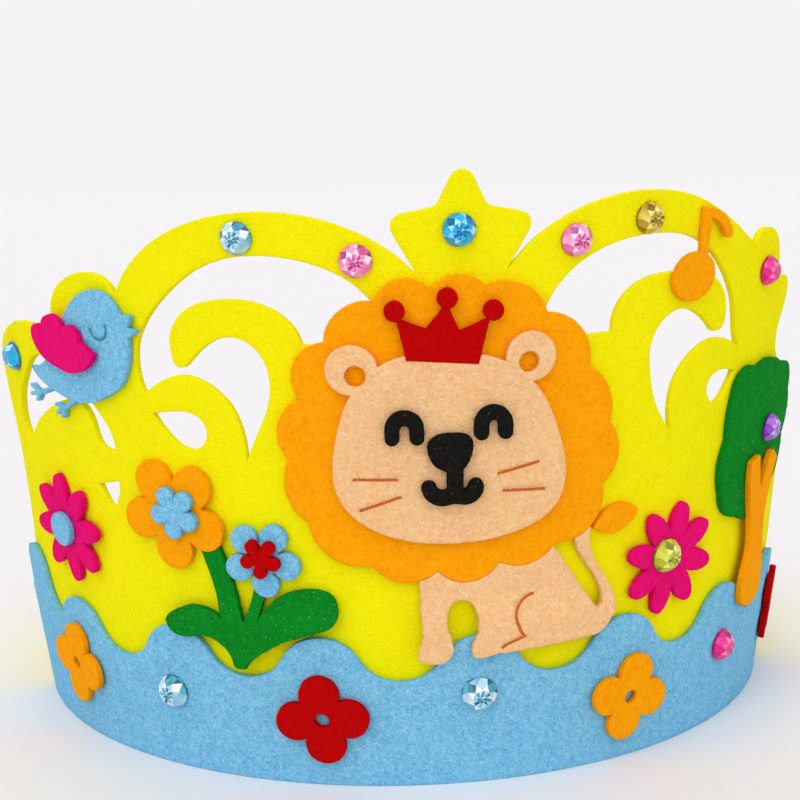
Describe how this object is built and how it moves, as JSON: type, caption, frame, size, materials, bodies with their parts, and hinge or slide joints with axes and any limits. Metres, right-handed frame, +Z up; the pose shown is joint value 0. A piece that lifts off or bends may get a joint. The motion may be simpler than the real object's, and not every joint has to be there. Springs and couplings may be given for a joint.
{
  "type": "felt crown",
  "caption": "Felt dress-up crown with a fretted front of arches and a star, a wavy strip, a lion, a bird, flowers, a tree, a music note and glued rhinestones.",
  "frame": {"origin": "on the floor, on the upright axis of the ring", "axes": "+Z up; -Y is the front, where the star and the lion are; +X is to the right of someone who faces the front"},
  "size_m": [0.1837, 0.197, 0.1231],
  "materials": {
    "yellow_felt": "matt felt",
    "blue_felt": "matt felt",
    "orange_felt": "matt felt",
    "peach_felt": "matt felt",
    "red_felt": "matt felt",
    "black_felt": "matt felt",
    "green_felt": "matt felt",
    "magenta_felt": "matt felt",
    "clear_stone": "faceted acrylic, mirrored at the back",
    "pink_stone": "faceted acrylic, mirrored at the back",
    "sky_stone": "faceted acrylic, mirrored at the back",
    "gold_stone": "faceted acrylic, mirrored at the back",
    "magenta_stone": "faceted acrylic, mirrored at the back",
    "lime_stone": "faceted acrylic, mirrored at the back",
    "purple_stone": "faceted acrylic, mirrored at the back"
  },
  "bodies": {
    "root": {"crown_band": "yellow_felt", "wave_strip": "blue_felt", "lion_mane": "orange_felt", "lion_face": "peach_felt", "lion_crown": "red_felt", "lion_left_eye": "black_felt", "lion_right_eye": "black_felt", "lion_nose_mouth": "black_felt", "lion_body": "peach_felt", "lion_tail_tuft": "orange_felt", "plant_stem": "green_felt", "orange_flower": "orange_felt", "orange_flower_centre": "blue_felt", "blue_flower": "blue_felt", "blue_flower_centre": "red_felt", "left_daisy": "magenta_felt", "left_daisy_centre": "blue_felt", "right_daisy": "magenta_felt", "bird_body": "blue_felt", "bird_wing": "magenta_felt", "music_note": "orange_felt", "tree_top": "green_felt", "tree_trunk": "orange_felt", "band_flower_red": "red_felt", "band_flower_orange_left": "orange_felt", "band_flower_orange_right": "orange_felt", "band_flower_red_side": "red_felt", "gem_arch_clear": "clear_stone", "gem_arch_pink_left": "pink_stone", "gem_star_blue": "sky_stone", "gem_arch_pink_right": "pink_stone", "gem_arch_gold": "gold_stone", "gem_crest_magenta": "magenta_stone", "gem_crest_blue": "sky_stone", "gem_band_left": "clear_stone", "gem_band_middle": "clear_stone", "gem_band_right": "magenta_stone", "gem_daisy": "lime_stone", "gem_tree": "purple_stone"}
  },
  "joints": []
}
